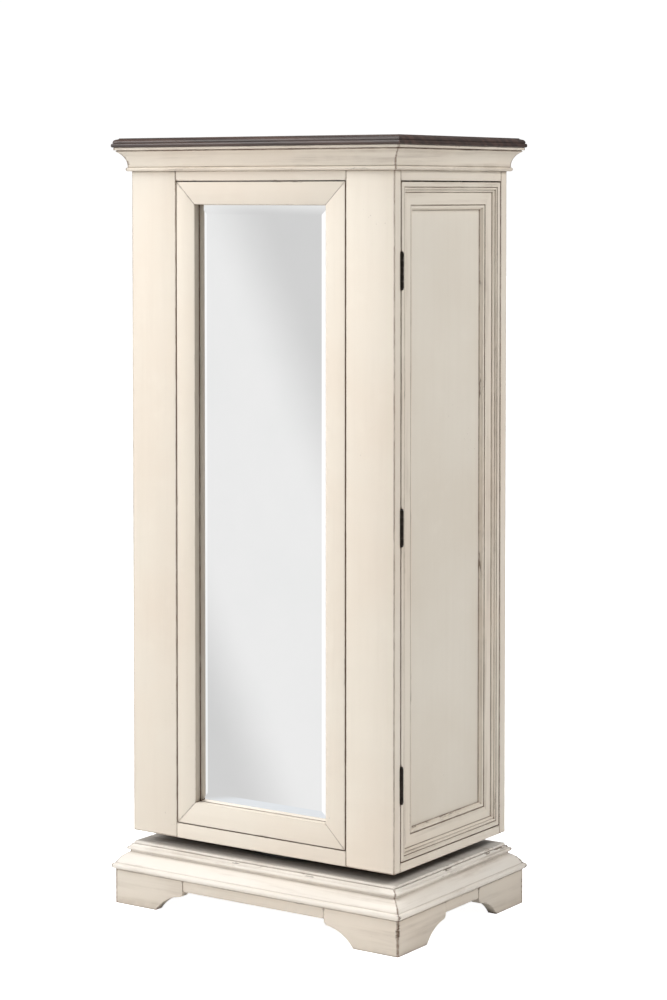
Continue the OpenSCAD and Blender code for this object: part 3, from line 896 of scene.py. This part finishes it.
@dataclass
class Crown:
    """Walnut top and the painted crown moulding under it. Sizes in mm."""

    width: float = 620.0
    depth: float = 405.0
    face_top: float = 1459.0
    top_bottom: float = 1506.0
    top_thick: float = 18.0

    def walnut_top(self) -> Mesh:
        """The top, built up in layers that follow its moulded edge."""
        edge = [
            (27.6, 0.0), (28.7, 0.5), (29.3, 1.6), (29.5, 3.2), (29.5, 4.8), (29.2, 6.2), (28.4, 7.2), (27.2, 7.7),
            (26.3, 7.9), (26.3, 8.5), (27.0, 8.8), *arc((20.9, 9.4), 6.2, 4, 84, 10), (20.6, 15.9), (19.6, 16.1),
            (18.6, 16.4), (18.3, 16.9), (18.1, self.top_thick - 0.5), (17.6, self.top_thick),
        ]
        out, up = edge[0]
        clear_bench()
        bpy.ops.mesh.primitive_plane_add(size=1.0, location=(0, 0, (self.top_bottom + up) * MM))
        top = bpy.context.object
        size = self.outer(out)
        top.scale = (*size, 1.0)
        settle(top)
        edit_all(top)
        for out, level in edge[1:]:
            pull(0, 0, level - up)
            grown = self.outer(out)
            bpy.ops.transform.resize(value=(grown[0] / size[0], grown[1] / size[1], 1.0),
                                     center_override=(0, 0, (self.top_bottom + level) * MM))
            size, up = grown, level
        top.name = "walnut_top_board"
        return smooth(tidy_mesh(top), 38)

    def outer(self, out: float) -> tuple[float, float]:
        """The width and depth, in metres, of a layer that stands out by a distance in mm."""
        return (self.width + 2 * out) * MM, (self.depth + 2 * out) * MM

    def moulding(self) -> Mesh:
        """Bead, cove and fillet, mitred round the top of the carcass."""
        cove = 33.0
        foot = self.face_top + 10.0
        hollow = [math.radians(6 * i) for i in range(1, 11)]
        outline = [
            (0.1, self.face_top), *arc((5.0, self.face_top + 4.0), 4.0, -90, 90, 14),
            (6.0, self.face_top + 8.4),
            *[(6.0 + cove * (1 - math.cos(t)), foot + cove * math.sin(t)) for t in hollow],
            (23.2, self.face_top + 39.4), (21.8, self.face_top + 40.0), (21.8, self.face_top + 41.3),
            (26.0, self.face_top + 41.6),
            (26.0, self.top_bottom - 0.1), (0.1, self.top_bottom - 0.1),
        ]
        size, ways = (self.width, self.depth), (Axis.ACROSS, Axis.DEEP)
        return run_moulding("crown_moulding_lengths", outline, size, CROWN_CREAM, ways, 0.4)

    def build(self) -> None:
        """Builds the crown."""
        top = paint(self.walnut_top(), WALNUT.material())
        hand_over(top, "cabinet", "walnut", "top_slab")
        hand_over(self.moulding(), "cabinet", "cream_paint", "crown_moulding")


@dataclass
class MirrorPanel:
    """Mitred flat frame, bevelled mirror and backing board. Sizes in mm."""

    frame_width: float = 44.0
    recess: float = 15.0
    lip: float = 6.0
    edge_thick: float = 3.9
    glass_thick: float = 5.0
    bevel: float = 19.0

    def build(self) -> None:
        """Builds the mirror's pieces."""
        low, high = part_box("mirror_frame")
        size = (high - low) / MM
        back = -size.y
        onto_face = Matrix.Translation((0, low.y, (low.z + high.z) / 2)) @ Matrix.Rotation(math.radians(90), 4, "X")
        outline = [
            (0.0, back), (0.0, 0.0), (-self.frame_width, 0.0), (-self.frame_width, -self.recess),
            (self.lip - self.frame_width, -self.recess), (self.lip - self.frame_width, back),
        ]
        moulding = run_moulding("mirror_frame_members", outline, (size.x, size.z), CREAM,
                                (Axis.ACROSS, Axis.UP), 0.9, onto_face)
        inner = Vector((size.x / 2 - self.frame_width, 0, size.z / 2 - self.frame_width)) * MM
        middle = (low.z + high.z) / 2

        def is_reveal(centre: Vector, normal: Vector) -> bool:
            """Whether a face is the side or top wall between the frame's face and the glass."""
            near = max(abs(centre.x) - inner.x, abs(centre.z - middle) - inner.z)
            shaded = abs(normal.y) < 0.3 and normal.z < 0.3
            return shaded and abs(near) < 0.2 * MM and centre.y < low.y + self.recess * MM

        def is_rim(centre: Vector, normal: Vector) -> bool:
            """Whether a face is on the outside of the frame, in the gap round it."""
            near = max(abs(centre.x) - high.x, centre.z - high.z, low.z - centre.z)
            return abs(normal.y) < 0.3 and abs(near) < 0.2 * MM and centre.y > low.y + 1.5 * MM

        # Painted shade: the side and top walls of the recess are painted darker than the lit bottom wall.
        paint_faces(moulding, REVEAL_PAINTED_SHADE.material(), is_reveal)
        # Painted shade: the frame's outer rim is stained dark so the gap round it reads dark.
        paint_faces(moulding, GAP_SHADE_STAIN.material(), is_rim)
        hand_over(moulding, "cabinet", "cream_paint", "mirror_frame")
        hand_over(self.glass(), "cabinet", "mirror", "mirror_glass")
        backing = boards_of("mirror_backing_panel", "mirror_backing", BLACK, 0.4)
        hand_over(backing, "cabinet", "black_board", "mirror_backing")

    def glass(self) -> Mesh:
        """The plate, its face raised from a thin rim by the bevel."""
        low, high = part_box("mirror_glass")
        plate = block((low.x, high.y - self.edge_thick * MM, low.z), high, "bevelled_mirror")
        edit_faces(plate, lambda centre, normal: normal.y < -0.9)
        bpy.ops.mesh.inset(thickness=(self.bevel + self.lip) * MM)
        rise = (self.glass_thick - self.edge_thick) * MM
        bpy.ops.transform.translate(value=(0, -rise, 0))
        clear_bench()
        return paint(plate, Silvering().material())


@dataclass
class NecklaceClosets:
    """Hook rails, hooks and touch latches behind the side doors. Sizes in mm."""

    hook: float = 1.6
    reach: float = 20.0
    bend: float = 5.0
    rise: float = 7.5
    tip: float = 2.3

    def one_hook(self) -> Mesh:
        """A turned-up hook at the origin, standing out along +X."""
        clear_bench()
        quarter = math.radians(90)
        bpy.ops.mesh.primitive_circle_add(
            vertices=14, radius=self.hook * MM, fill_type="NGON", location=(MM, 0, 0), rotation=(0, quarter, 0))
        wire = settle(bpy.context.object)
        edit_all(wire)
        pull(self.reach - self.bend - 1.0, 0, 0)
        pivot = ((self.reach - self.bend) * MM, 0, self.bend * MM)
        bpy.ops.mesh.spin(steps=8, angle=-quarter, center=pivot, axis=(0, 1, 0))
        pull(0, 0, self.rise - self.bend)
        smooth(tidy_mesh(wire))
        rose = ease(rod((0, 0, 0), (2 * MM, 0, 0), 5 * MM, 28), 0.8, 3)
        clear_bench()
        bpy.ops.mesh.primitive_uv_sphere_add(
            segments=16, ring_count=10, radius=self.tip * MM, location=(self.reach * MM, 0, (self.rise + 1) * MM))
        tip = smooth(settle(bpy.context.object), 60)
        return join("hook", [wire, rose, tip])

    def build(self) -> None:
        """Builds what the closets hold."""
        hand_over(boards_of("closet_hook_rails", "hook_rails", MAPLE, 2.2), "cabinet", "maple", "hook_rails")
        pattern = self.one_hook()
        hooks = []
        for low, high in solids_of("necklace_hooks"):
            right = low.x > 0
            root = Vector((low.x if right else high.x, (low.y + high.y) / 2, low.z + 5 * MM))
            turn = Matrix.Identity(4) if right else Matrix.Rotation(math.radians(180), 4, "Z")
            hooks.append(copy_of(pattern, Matrix.Translation(root) @ turn))
        bpy.data.objects.remove(pattern)
        piece = paint(join("brass_necklace_hooks", hooks), BRASS.material())
        hand_over(piece, "cabinet", "brass", "necklace_hooks")
        housings = boards_of("touch_latch_housings", "latch_housings", LATCH_BLACK, 1.4)
        bores = []
        for side in Side:
            low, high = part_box(f"{side.name.lower()}_latch_plunger")
            middle = (low + high) / 2
            reach = Vector((20 * MM, 0, 0))
            bores.append(rod(middle - reach, middle + reach, 4.1 * MM))
            refinish(f"{side.name.lower()}_latch_plunger", STEEL.material())
        hand_over(smooth(cut_away(housings, bores)), "cabinet", "black_plastic", "latch_housings")


# ---- hinges and doors


def hinge_axis(side: Side) -> Vector:
    """A point on a door's hinge axis, in metres."""
    name = f"{side.name.lower()}_door_hinge"
    joint = next(joint for joint in frame["joints"] if joint["name"] == name)
    return Vector(joint["pos_m"])


def hinge_reliefs(radius: float, sides: Iterable[Side]) -> list[Mesh]:
    """Cutters for the room that hinge barrels need.

    Args:
        radius: Their radius, in mm.
        sides: The sides that they are for.

    Returns:
        One cutter for each barrel.
    """
    cutters = []
    for side in sides:
        axis = hinge_axis(side)
        for low, high in solids_of(f"{side.name.lower()}_door_hinge_leaves"):
            middle = (low.z + high.z) / 2
            reach = Hinges.barrel / 2 + Hinges.tip + 1.0
            ends = [(axis.x, axis.y, middle + way * reach * MM) for way in (-1, 1)]
            cutters.append(rod(ends[0], ends[1], radius * MM, 40))
    return cutters


@dataclass
class Hinges:
    """Three dark butt hinges on each side, with a cabinet leaf and a door leaf. Sizes in mm."""

    radius: float = 3.5
    pin: float = 1.6
    leaf: float = 1.0
    leaf_low: float = 287.0
    leaf_high: float = 307.8
    edge: float = 180.5
    gap: float = 2.5
    knuckles: int = 5
    spacing: float = 0.3
    barrel = 66.0
    tip = 2.7

    def screw(self) -> Mesh:
        """A slotted countersunk head at the origin, its face towards +Y."""
        head = ease(rod((0, -0.3 * MM, 0), (0, 0.15 * MM, 0), 2.9 * MM, 28), 0.12, 2)
        slot = block((-0.4 * MM, 0.0, -2.3 * MM), (0.4 * MM, 0.4 * MM, 2.3 * MM))
        slot = settle(slot, Matrix.Rotation(math.radians(25), 4, "Y"))
        return smooth(cut_away(head, [slot]))

    def turned(self, low: float, high: float, radius: float) -> Mesh:
        """A rod on the hinge's axis between two heights."""
        axis = hinge_axis(Side.RIGHT)
        return rod((axis.x, axis.y, low * MM), (axis.x, axis.y, high * MM), radius * MM)

    def half(self, middle: float, on_door: bool) -> Mesh:
        """One side of the right-hand hinge at a height.

        Args:
            middle: The height of the hinge's middle, in mm.
            on_door: Whether it is the door's leaf, with the even knuckles.

        Returns:
            The half hinge.
        """
        face = -self.edge + self.gap - self.leaf if on_door else -self.edge
        bottom = middle - self.barrel / 2
        pitch = self.barrel / self.knuckles
        parts = [block(
            Vector((self.leaf_low, face, bottom)) * MM,
            Vector((self.leaf_high, face + self.leaf, bottom + self.barrel)) * MM)]
        ease(parts[0], 0.25)
        for number in range(int(on_door), self.knuckles, 2):
            low = bottom + number * pitch + self.spacing / 2
            high = low + pitch - self.spacing
            parts.append(ease(self.turned(low, high, self.radius), 0.35, 2))
            parts.append(block(
                Vector((self.leaf_high - 1, face, low)) * MM,
                Vector((self.leaf_high + 2, face + self.leaf, high)) * MM))
        if not on_door:
            for way, end in ((-1, bottom), (1, bottom + self.barrel)):
                parts.append(ease(self.turned(end, end + way * self.tip, self.radius - 0.7), 1.6, 5))
            parts.append(self.turned(bottom, bottom + self.barrel, self.pin))
        shown = face if on_door else face + self.leaf
        turn = Matrix.Rotation(math.radians(180 if on_door else 0), 4, "Z")
        pattern = self.screw()
        for drop in (-0.36, 0.0, 0.36):
            across = self.leaf_low + (12.0 if drop == 0.0 else 7.0)
            root = Vector((across, shown, middle + drop * self.barrel)) * MM
            parts.append(copy_of(pattern, Matrix.Translation(root) @ turn))
        bpy.data.objects.remove(pattern)
        return join("half_hinge", parts)

    def build(self) -> None:
        """Builds the hinges of both sides."""
        heights = [(low.z + high.z) / 2 / MM for low, high in solids_of("right_door_hinge_leaves")]
        fixed = [self.half(height, on_door=False) for height in heights]
        fixed += [mirrored(part) for part in fixed]
        piece = paint(join("hinge_cabinet_halves", fixed), BRONZE.material())
        hand_over(piece, "cabinet", "bronze", "cabinet_hinge_leaves")
        right = join("right_hinge_door_halves", [self.half(height, on_door=True) for height in heights])
        paint(right, BRONZE.material())
        left = mirrored(right)
        left.name = "left_hinge_door_halves"
        for side, part in ((Side.RIGHT, right), (Side.LEFT, left)):
            name = side.name.lower()
            hand_over(part, f"{name}_door", "bronze", f"{name}_door_hinge_leaves")


@dataclass
class SideDoor:
    """A moulded door frame and its sunk flat panel. Sizes in mm."""

    side: Side
    thick: float = 24.0
    sight: float = 53.5
    rebate: float = 46.0
    field: float = -8.0
    panel_depth: float = 16.5
    relief: float = 3.9

    def outline(self) -> Outline:
        """The frame's section, as (minus the distance in from the edge, height)."""
        return [
            (0.0, -self.thick), (0.0, -0.9), (-0.3, -0.3), (-0.9, 0.0), (-8.7, 0.0), (-9.1, -0.4),
            (-9.5, -1.9), (-10.0, -2.1),
            *arc((-12.2, -2.6), 2.2, 165, 15, 8)[::-1], (-14.6, -3.9), (-15.1, -4.1),
            *bow((-15.4, -3.7), (-19.4, self.field - 0.4), -1.1, 8), (-19.9, self.field - 0.9), (-20.5, self.field),
            (-43.0, self.field), (-43.4, self.field - 1.9), (-44.0, self.field - 1.9),
            *arc((-47.1, -11.1), 3.1, 20, 165, 12), (-50.3, -11.6), (-50.7, -12.0),
            *bow((-50.9, -12.4), (0.8 - self.sight, 0.9 - self.panel_depth), -0.5, 5),
            (-self.sight, 0.1 - self.panel_depth), (-self.rebate, 0.1 - self.panel_depth), (-self.rebate, -self.thick),
        ]

    def build(self) -> None:
        """Builds the door."""
        name = self.side.name.lower()
        low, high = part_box("right_door_frame")
        size = (high - low) / MM
        centre = Matrix.Translation((high.x, 0, (low.z + high.z) / 2))
        onto_side = centre @ Matrix(((0, 0, 1, 0), (1, 0, 0, 0), (0, 1, 0, 0), (0, 0, 0, 1)))
        frame_piece = run_moulding("door_members", self.outline(), (size.y, size.z), GLAZED_CREAM,
                                   (Axis.DEEP, Axis.UP), 0.0, onto_side, seam=0.0)
        frame_piece = smooth(cut_away(frame_piece, hinge_reliefs(self.relief, (Side.RIGHT,))))
        panel = ease(block(*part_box("right_door_panel")), 0.4)
        paint(panel, PANEL_CREAM.material())
        pieces = [(frame_piece, "frame"), (panel, "panel")]
        for part, kind in pieces:
            if self.side is Side.LEFT:
                twin = mirrored(part)
                bpy.data.objects.remove(part)
                part = twin
            part.name = f"{name}_door_{kind}_members" if kind == "frame" else f"{name}_door_flat_panel"
            hand_over(part, f"{name}_door", "cream_paint", f"{name}_door_{kind}")


# ---- drawers


@dataclass
class Drawer:
    """A drawer: its front with a sunk field, its felt-lined tray and two turned knobs. Sizes in mm."""

    number: int
    margin: float = 15.0
    sunk: float = 2.4
    slope: float = 4.0

    def front(self) -> Mesh:
        """The painted front, its middle sunk behind a sloping step."""
        low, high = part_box(f"drawer_{self.number}_front")
        board = block(low, high)
        edit_faces(board, lambda centre, normal: normal.y > 0.9)
        bpy.ops.mesh.inset(thickness=self.margin * MM)
        pull(0, -1.0, 0)
        bpy.ops.mesh.inset(thickness=self.slope * MM)
        bpy.ops.transform.translate(value=(0, (1.0 - self.sunk) * MM, 0))
        ease(tidy_mesh(board), 0.6, 3, 25)
        board.name = f"drawer_{self.number}_front_board"
        return paint(board, CREAM.along(Axis.ACROSS))

    def tray(self) -> Mesh:
        """The maple tray, felt on its bottom."""
        node = f"drawer_{self.number}_tray"
        tray = boards_of(f"drawer_{self.number}_felted_tray", node, MAPLE, 1.2)
        floor = max(high.z for low, high in solids_of(node) if high.z - low.z < 10 * MM)
        return paint_faces(
            tray, Felt().material(), lambda centre, normal: normal.z > 0.9 and abs(centre.z - floor) < 0.5 * MM)

    def knobs(self) -> Mesh:
        """Two knobs spun from one outline."""
        section = [
            (0.0, 0.0), (7.8, 0.0), (8.0, 0.4), (8.0, 1.2), (7.2, 1.9), (5.6, 2.6), (4.9, 4.2), (4.5, 7.4),
            (5.0, 9.2), (6.4, 10.0), (6.7, 10.6), *arc((8.0, 16.2), 5.9, -62, 62, 14), (7.2, 21.9),
            (6.4, 21.7), (5.4, 22.1), (2.6, 22.35), (0.0, 22.4),
        ]
        knobs = []
        for low, high in solids_of(f"drawer_{self.number}_knobs"):
            knob = draw([Vector((out, up, 0)) * MM for out, up in section], closed=False)
            bpy.ops.mesh.spin(steps=40, angle=math.radians(360), center=(0, 0, 0), axis=(0, 1, 0))
            tidy_mesh(knob)
            root = Vector(((low.x + high.x) / 2, low.y, (low.z + high.z) / 2))
            knobs.append(smooth(settle(knob, Matrix.Translation(root)), 35))
        return paint(join(f"drawer_{self.number}_turned_knobs", knobs), BRONZE.material())

    def build(self) -> None:
        """Builds the drawer."""
        body = f"drawer_{self.number}"
        hand_over(self.front(), body, "cream_paint", f"{body}_front")
        hand_over(self.tray(), body, "maple", f"{body}_tray")
        hand_over(self.knobs(), body, "bronze", f"{body}_knobs")


# ---- studio


@dataclass
class Studio:
    """Pale floor, soft lights, a glowing card that paints the mirror's reflection, and the camera. In metres."""

    camera_at: tuple[float, float, float] = (2.9304, -4.2305, 1.4140)
    heading: float = 34.391
    downward: float = 2.329
    lens: float = 93.68
    rise: float = -0.2
    bright: float = 0.22
    dim: float = 0.12
    dim_way: tuple[float, float, float] = (0.68, -0.70, -0.22)

    def floor(self) -> None:
        """A wide floor of white translucent sheet, lit through from below."""
        clear_bench()
        bpy.ops.mesh.primitive_circle_add(vertices=96, radius=40.0, fill_type="NGON", location=(0, 0, 0))
        ground = bpy.context.object
        ground.name = "studio_floor"
        recipe = Recipe("studio_floor_white")
        haze = recipe.noise(recipe.place(), 1.5, 3.0)
        recipe.surface(Base_Color=recipe.blend(haze, (0.90, 0.90, 0.90), (0.93, 0.93, 0.93)), Roughness=0.9)
        seen = recipe.put("LightPath").outputs["Is Camera Ray"]
        recipe.surface(Emission_Color=(1, 1, 1, 1), Emission_Strength=recipe.times(seen, 0.95))
        paint(ground, recipe.material)

    def card(self) -> None:
        """A glowing card that only the mirror sees, a painted reflection: a light slanting band between two soft
        greys.
        """
        clear_bench()
        bpy.ops.mesh.primitive_plane_add(size=1.0, location=(-0.323, -0.6325, 0.80))
        card = bpy.context.object
        card.name = "studio_card"
        card.scale = (0.8, 1.6, 1.0)
        bpy.ops.object.transform_apply(location=False, rotation=False, scale=True)
        card.rotation_euler = (math.radians(90), 0, math.radians(-36.0))
        recipe = Recipe("studio_card_grey")
        where = recipe.put("TexCoord").outputs["Object"]
        slant = recipe.put("VectorMath", {0: where, 1: (0.444, 0.169, 0.0)}, operation="DOT_PRODUCT").outputs["Value"]
        light = recipe.times(recipe.span(slant, -0.140, -0.072), recipe.span(slant, 0.107, 0.033))
        apart = recipe.put("SeparateXYZ", {0: where}).outputs
        aside = recipe.put("Math", {0: apart["X"]}, operation="ABSOLUTE").outputs[0]
        grey = recipe.blend(light, (0.665, 0.665, 0.665), (0.875, 0.875, 0.875))
        grey = recipe.blend(recipe.span(apart["Y"], 0.61, 0.64, 0.0, 0.55), grey, (1.0, 1.0, 1.0))
        grey = recipe.blend(recipe.span(apart["Y"], -0.712, -0.726), grey, (0.80, 0.83, 0.86))
        grey = recipe.blend(recipe.span(aside, 0.145, 0.175), grey, (1.08, 1.08, 1.08))
        # The card's glow is a painted reflection, seen only in the mirror.
        recipe.surface(Base_Color=(0, 0, 0, 1), Emission_Color=grey, Emission_Strength=1.0, Roughness=1.0)
        paint(card, recipe.material)
        card.visible_camera = False
        card.visible_diffuse = False
        card.visible_shadow = False

    def softbox(self, name: str, at: tuple[float, float, float], size: float, power: float) -> None:
        """A square soft light of a power in watts, aimed at the middle of the armoire."""
        clear_bench()
        bpy.ops.object.light_add(type="AREA", location=at)
        lamp = bpy.context.object
        lamp.name = name
        lamp.data.size = size
        lamp.data.energy = power
        lamp.rotation_euler = (Vector((0, 0, 0.85)) - Vector(at)).to_track_quat("-Z", "Y").to_euler()

    def sky(self) -> None:
        """White behind the armoire, and a soft light all round that is dimmer on the camera's side."""
        world = bpy.context.scene.world or bpy.data.worlds.new("studio")
        bpy.context.scene.world = world
        world.use_nodes = True
        tree = world.node_tree
        tree.nodes.clear()
        way = tree.nodes.new("ShaderNodeTexCoord")
        facing = tree.nodes.new("ShaderNodeVectorMath")
        facing.operation = "DOT_PRODUCT"
        facing.inputs[1].default_value = self.dim_way
        level = tree.nodes.new("ShaderNodeMapRange")
        level.interpolation_type = "SMOOTHSTEP"
        for name, value in (("From Min", -0.2), ("From Max", 1.0), ("To Min", self.bright), ("To Max", self.dim)):
            level.inputs[name].default_value = value
        path = tree.nodes.new("ShaderNodeLightPath")
        tone = tree.nodes.new("ShaderNodeMapRange")
        tone.inputs["To Max"].default_value = 1.03
        back = tree.nodes.new("ShaderNodeBackground")
        back.inputs["Color"].default_value = (1.0, 1.0, 1.0, 1.0)
        out = tree.nodes.new("ShaderNodeOutputWorld")
        tree.links.new(way.outputs["Generated"], facing.inputs[0])
        tree.links.new(facing.outputs["Value"], level.inputs["Value"])
        tree.links.new(level.outputs["Result"], tone.inputs["To Min"])
        tree.links.new(path.outputs["Is Camera Ray"], tone.inputs["Value"])
        tree.links.new(tone.outputs["Result"], back.inputs["Strength"])
        tree.links.new(back.outputs["Background"], out.inputs["Surface"])

    def camera(self) -> None:
        """The camera, a little above the top of the drawers and to the right of the mirror."""
        clear_bench()
        bpy.ops.object.camera_add(location=self.camera_at)
        camera = bpy.context.object
        camera.name = "studio_camera"
        camera.rotation_euler = (math.radians(90 - self.downward), 0, math.radians(self.heading))
        camera.data.lens = self.lens
        camera.data.sensor_width = 36.0
        camera.data.shift_y = self.rise
        bpy.context.scene.camera = camera

    def build(self) -> None:
        """Sets the studio up."""
        bpy.context.scene.view_settings.view_transform = "Standard"
        self.floor()
        self.card()
        self.softbox("key_light", (-3.7, -4.0, 3.2), 3.0, 184.0)
        self.softbox("top_light", (-0.4, -1.4, 4.6), 2.6, 118.0)
        self.softbox("side_light", (3.3, 1.1, 3.5), 1.8, 91.0)
        self.sky()
        self.camera()


def main() -> None:
    """Builds the armoire and its studio, in the order that a maker would."""
    logging.basicConfig(level=logging.INFO, format="%(name)s: %(message)s")
    for assembly in (
        SwivelBase(), Turntable(), Carcass(), Crown(), MirrorPanel(), NecklaceClosets(), Hinges(),
        SideDoor(Side.RIGHT), SideDoor(Side.LEFT), *(Drawer(number) for number in range(1, 8)), Studio(),
    ):
        log.info("building %s", type(assembly).__name__)
        assembly.build()


if __name__ == "__main__":
    main()
